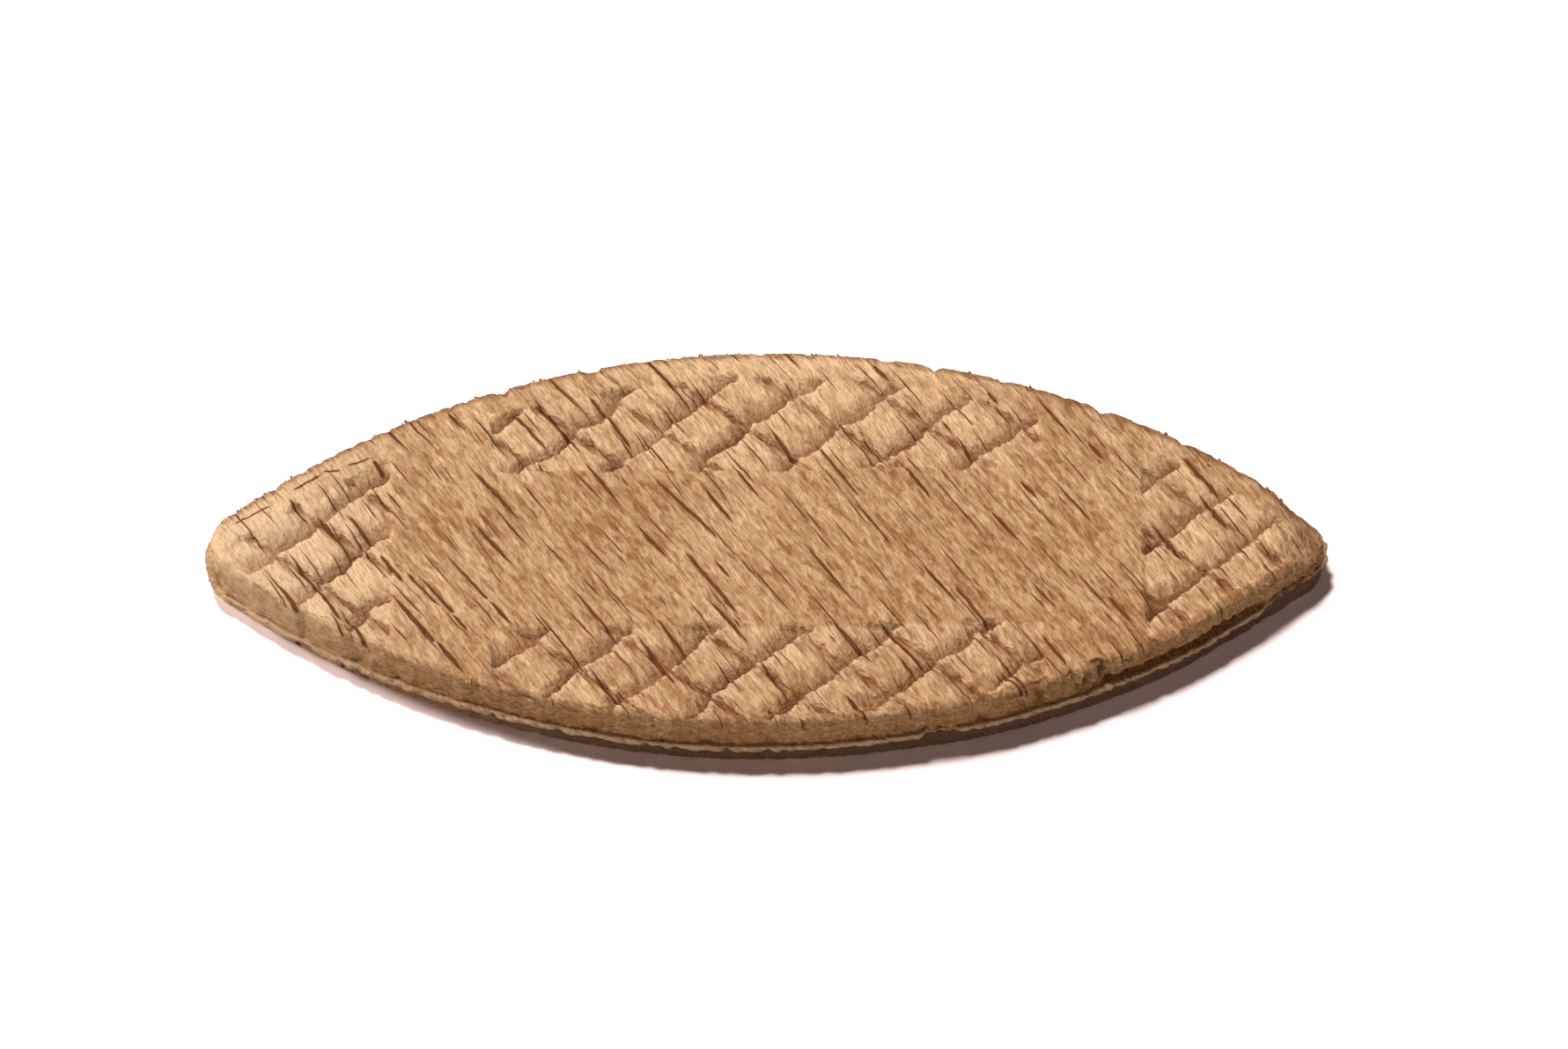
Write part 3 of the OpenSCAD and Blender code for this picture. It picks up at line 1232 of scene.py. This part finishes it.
    def tear(
        self, place: WoodPlace, inset: Value, wear: Wear
    ) -> tuple[Value, dict[str, Operand]]:
        """Finds how far the skin goes inwards.

        Args:
            place: Where it is read.
            inset: How far inside the outline that is.
            wear: The depths, from the named inputs.

        Returns:
            The distance in mm, and what the finish reads of the edge, by attribute.
        """
        blank, damage, level = self.blank, self.damage, abs(place.z)
        edge = inset.ramp(blank.face_inset - 0.35, blank.flash_w)
        edge = edge * level.ramp(blank.face_z - 0.1, blank.face_z - 0.75)
        torn = place.fibre_noise(0.7, 3.0, 41.0, 3.0)
        chips = place.even_noise(1.1, 57.0, 2.0).ramp(0.56, 0.7)
        inward = edge * wear.flank_rough * (torn.ramp(0.35, 0.8) + chips * 1.2)
        ragged = place.fibre_noise(0.7, 2.4, 83.0, 4.0).ramp(0.5, 0.72, Ease.STRAIGHT)
        rag = inset.ramp(1.9, 0.7) * (place.y.ramp(0.0, 4.0) + 0.45)
        inward = inward + rag * ragged * wear.outline_rag
        inward = inward + inset.ramp(1.6, 0.6) * damage.notch(place) * wear.notch_d
        lumps = place.even_noise(1.5, 29.0, 3.0)
        crumbling = damage.crumbling(place) * inset.ramp(1.0, 0.45) * place.z.ramp(0.1, 0.5)
        inward = inward + crumbling * lumps.ramp(0.42, 0.66) * wear.crumble_d
        split = damage.split(place, blank) * inset.ramp(blank.face_inset, 0.3)
        inward = inward + split * wear.split_d
        bulge = place.x.ramp(6.0, 12.0) * place.x.ramp(25.5, 21.0) * place.y.ramp(-4.0, -6.0)
        inward = inward - bulge * inset.ramp(3.0, 1.0) * wear.front_bulge
        flash = inset.ramp(blank.flash_w * 0.98, blank.flash_w * 0.4)
        flash = flash * level.ramp(blank.flash_t, blank.flash_t * 0.55)
        ragged = place.even_noise(1.6, 71.0, 4.0).ramp(0.56, 0.8, Ease.STRAIGHT)
        inward = inward + flash * wear.flash_rag * ragged
        gap = damage.gap(place)
        inward = inward + flash * gap * blank.flash_w
        inward = inward + damage.worn_tip(place) * inset.ramp(3.0, 0.5) * wear.tip_wear
        # Where the split and the crumbled lumps get painted shade
        painted_hollow_shade = place.graph.most(split, crumbling * lumps.ramp(0.5, 0.62) * 0.8)
        flash = flash * (1.0 - gap)
        shares = {"edge_share": edge, "flash_share": flash, "painted_hollow_shade": painted_hollow_shade, "height": place.z}
        return inward, shares

    def press(self, material: bpy.types.Material) -> NodesTool:
        """Builds the tree that presses the pattern and tears the edge.

        Args:
            material: The material of the skin.

        Returns:
            The tool.
        """
        tool = NodesTool("press_and_tear", self.pressing, self.wear)
        graph, place = tool.graph, tool.place()
        inset, wear = Value(graph, tool.named("inset")), tool.read(Wear)
        drop = self.drop(place, inset, tool.read(Pressing), wear)
        inward, shares = self.tear(place, inset, wear)
        out_x, out_y, _ = graph.parts(tool.named("outward", "FLOAT_VECTOR"))
        offset = graph.vector(out_x * inward * -MM, out_y * inward * -MM, drop * -MM)
        # The shares are stored before the move, because they are read from unmoved places
        geometry = tool.start.outputs[0]
        for name, share in shares.items():
            geometry = graph.add(
                "GeometryNodeStoreNamedAttribute",
                {"data_type": "FLOAT", "domain": "POINT"},
                {"Geometry": geometry, "Name": name, "Value": share},
            ).outputs[0]
        moved = graph.add("GeometryNodeSetPosition", None, {"Geometry": geometry, "Offset": offset})
        tool.finish(moved.outputs[0], material)
        return tool

    def build(self, material: bpy.types.Material) -> bpy.types.Object:
        """Makes the finished piece.

        Args:
            material: The beech.

        Returns:
            The piece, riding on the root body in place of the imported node.
        """
        piece = new_piece("pressed_biscuit", self.skin())
        self.press(material).run(piece)
        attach(piece, "root")
        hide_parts(NODE)
        return piece


@dataclass
class TornFibres:
    """Splinters that stand out of the torn edge, all in one piece.

    Attributes:
        length: Length of the longest splinter.
        shortest: Size of the smallest splinter, as a share of the longest.
        width: Its width at the root.
        per_mm2: How many grow on a square millimetre of fully torn edge.
        lift: How far they lean away from the edge.
        spread: How far they turn away from the fibres.
        seed: Moves them to other places.
    """

    length: float = 0.24
    shortest: float = 0.35
    width: float = 0.2
    per_mm2: float = 8.0
    lift: float = 0.2
    spread: float = 0.4
    seed: float = 4.0

    def grow(self, material: bpy.types.Material) -> NodesTool:
        """Builds the tree that grows the splinters on the biscuit's skin.

        Args:
            material: The material of the splinters.

        Returns:
            The tool.
        """
        tool = NodesTool("torn_fibres", self)
        graph, place = tool.graph, tool.place()
        edge = Value(graph, tool.named("edge_share"))
        torn = edge.ramp(0.05, 0.3) * edge.ramp(1.0, 0.7) * place.z.ramp(0.5, 1.2)
        patches = place.even_noise(0.5, 13.0, 2.0).ramp(0.42, 0.62)
        scatter = graph.add(
            "GeometryNodeDistributePointsOnFaces",
            {"distribute_method": "RANDOM"},
            {
                "Mesh": tool.start.outputs[0],
                "Density": torn * patches * tool.size("per_mm2") * (1 / MM**2),
                "Seed": tool.size("seed"),
            },
        )
        splinter = graph.add(
            "GeometryNodeMeshCone",
            None,
            {
                "Vertices": 4,
                "Radius Top": 0.0,
                "Radius Bottom": tool.size("width") * (MM / 2),
                "Depth": tool.size("length") * MM,
            },
        )
        normal = graph.parts(scatter.outputs["Normal"])
        fibre = (GRAIN_X, GRAIN_Y, 0.0)
        outward = graph.maths("SIGN", normal[0] * fibre[0] + normal[1] * fibre[1])
        ends = {0: (-1, -1, -1), 1: (1, 1, 1)}
        turn = graph.add("FunctionNodeRandomValue", {"data_type": "FLOAT_VECTOR"}, ends)
        turns = graph.parts(turn.outputs[0])
        heading = graph.vector(
            *(
                outward * part + straight * tool.size("lift") + turned * tool.size("spread")
                for part, straight, turned in zip(fibre, normal, turns)
            )
        )
        aimed = graph.add("FunctionNodeAlignRotationToVector", {"axis": "Z"}, {"Vector": heading})
        between = {2: tool.size("shortest"), 3: 1.0, "Seed": 8}
        size = graph.value("FunctionNodeRandomValue", 1, {"data_type": "FLOAT"}, between)
        grown = graph.add(
            "GeometryNodeInstanceOnPoints",
            None,
            {
                "Points": scatter.outputs["Points"],
                "Instance": splinter.outputs["Mesh"],
                "Rotation": aimed.outputs[0],
                "Scale": graph.vector(size, size, size),
            },
        )
        tool.finish(grown.outputs[0], material)
        return tool

    def build(self, skin: bpy.types.Object, material: bpy.types.Material) -> bpy.types.Object:
        """Makes the finished piece.

        Args:
            skin: The finished biscuit, whose skin they grow on.
            material: The beech.

        Returns:
            The piece, riding on the root body.
        """
        piece = new_piece("torn_fibres", skin.data.copy())
        self.grow(material).run(piece)
        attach(piece, "root")
        return piece


@dataclass(frozen=True)
class Lamp:
    """A soft lamp, so far away that its light is even.

    Attributes:
        name: The lamp's name.
        direction: The way to it, seen from above.
        height: How high it stands above the floor, in degrees.
        strength: Watts per square metre.
        spread: How wide it looks from the biscuit, in degrees.
    """

    name: str
    direction: tuple[float, float]
    height: float
    strength: float
    spread: float

    def hang(self) -> None:
        """Puts the lamp into the scene."""
        data = bpy.data.lights.new(self.name, "SUN")
        data.energy = self.strength
        data.angle = math.radians(self.spread)
        lamp = bpy.data.objects.new(self.name, data)
        rise = math.radians(self.height)
        flat = Vector(self.direction).normalized() * math.cos(rise)
        lamp.rotation_mode = "QUATERNION"
        lamp.rotation_quaternion = Vector((*flat, math.sin(rise))).to_track_quat("Z", "Y")
        bpy.context.scene.collection.objects.link(lamp)


@dataclass
class Studio:
    """A plain white floor, soft light from the back left and the photo's camera."""

    floor_z: float
    floor_size: float = 3000.0
    elevation: float = 56.5
    azimuth: float = -0.48
    distance: float = 1280.0
    pixels_per_mm: float = 22.84
    middle: tuple[float, float] = (871.0, 630.9)
    key: Lamp = Lamp("key", (-0.65, 0.76), 76.0, 2.5, 10.0)
    side: Lamp = Lamp("side", (-0.94, 0.34), 30.0, 1.85, 12.0)
    front: Lamp = Lamp("front", (0.1, -1.0), 11.0, 0.52, 14.0)
    dome_strength: float = 0.02
    paper: tuple = (0.8, 0.8, 0.8, 1.0)
    # The paper that the camera sees, which is brighter than the one that lights the biscuit
    seen_paper: tuple = (1.66, 1.36, 1.32, 1.0)

    def floor(self) -> None:
        """Lays the floor, which isn't part of the object."""
        half, z = self.floor_size / 2 * MM, self.floor_z * MM
        corners = [(x * half, y * half, z) for x, y in ((-1, -1), (1, -1), (1, 1), (-1, 1))]
        mesh = bpy.data.meshes.new("floor")
        mesh.from_pydata(corners, [], [(0, 1, 2, 3)])
        material = bpy.data.materials.new("white_paper")
        graph = Graph.of(material)
        seen = graph.value("ShaderNodeLightPath", 0)
        papers = (
            graph.add("ShaderNodeBsdfDiffuse", None, {"Color": colour}).outputs[0]
            for colour in (self.paper, self.seen_paper)
        )
        both = graph.add("ShaderNodeMixShader", None, dict(enumerate((seen, *papers))))
        graph.add("ShaderNodeOutputMaterial", None, {"Surface": both.outputs[0]})
        mesh.materials.append(material)
        floor = new_piece("floor", mesh)

    def lights(self) -> None:
        """Sets the lamps and the dome."""
        for lamp in (self.key, self.side, self.front):
            lamp.hang()
        world = bpy.data.worlds.new("studio")
        graph = Graph.of(world)
        seen = graph.value("ShaderNodeLightPath", 0)
        strength = seen * (1.0 - self.dome_strength) + self.dome_strength
        inputs = {"Color": (1.0, 1.0, 1.0, 1.0), "Strength": strength}
        background = graph.add("ShaderNodeBackground", None, inputs)
        graph.add("ShaderNodeOutputWorld", None, {"Surface": background.outputs[0]})
        bpy.context.scene.world = world

    def camera(self) -> None:
        """Sets the camera at the photo's angle, with the photo's framing."""
        data = bpy.data.cameras.new("photo")
        data.sensor_width = 36.0
        data.lens = self.pixels_per_mm * self.distance * data.sensor_width / PHOTO_WIDTH
        data.shift_x = (PHOTO_WIDTH / 2 - self.middle[0]) / PHOTO_WIDTH
        data.shift_y = (self.middle[1] - PHOTO_HEIGHT / 2) / PHOTO_WIDTH
        data.clip_start, data.clip_end = 0.05, 20.0
        camera = bpy.data.objects.new("photo", data)
        turn, rise = math.radians(self.azimuth), math.radians(self.elevation)
        flat = math.cos(rise)
        back = Vector((math.sin(turn) * flat, -math.cos(turn) * flat, math.sin(rise)))
        camera.location = back * self.distance * MM
        camera.rotation_mode = "QUATERNION"
        camera.rotation_quaternion = (-back).to_track_quat("-Z", "Y")
        bpy.context.scene.collection.objects.link(camera)
        bpy.context.scene.camera = camera

    def build(self) -> None:
        """Sets up the whole studio."""
        self.floor()
        self.lights()
        self.camera()
        bpy.context.scene.view_settings.view_transform = "Standard"


def main() -> None:
    """Builds the biscuit and the studio, and reports each piece."""
    logging.basicConfig(level=logging.INFO, format="%(message)s")
    low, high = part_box(NODE)
    blank = Blank(*((high - low) / MM))
    pressing = Pressing.on(blank)
    beech = BeechFinish().material(pressing, blank)
    piece = PressedBiscuit(blank, pressing, EdgeDamage()).build(beech)
    fibres = TornFibres().build(piece, beech)
    for part in (piece, fibres):
        LOG.info("%s: %d faces", part.name, len(part.data.polygons))
    Studio(floor_z=low.z / MM).build()
    LOG.info("studio: floor at %.2f mm", low.z / MM)


if __name__ == "__main__":
    main()
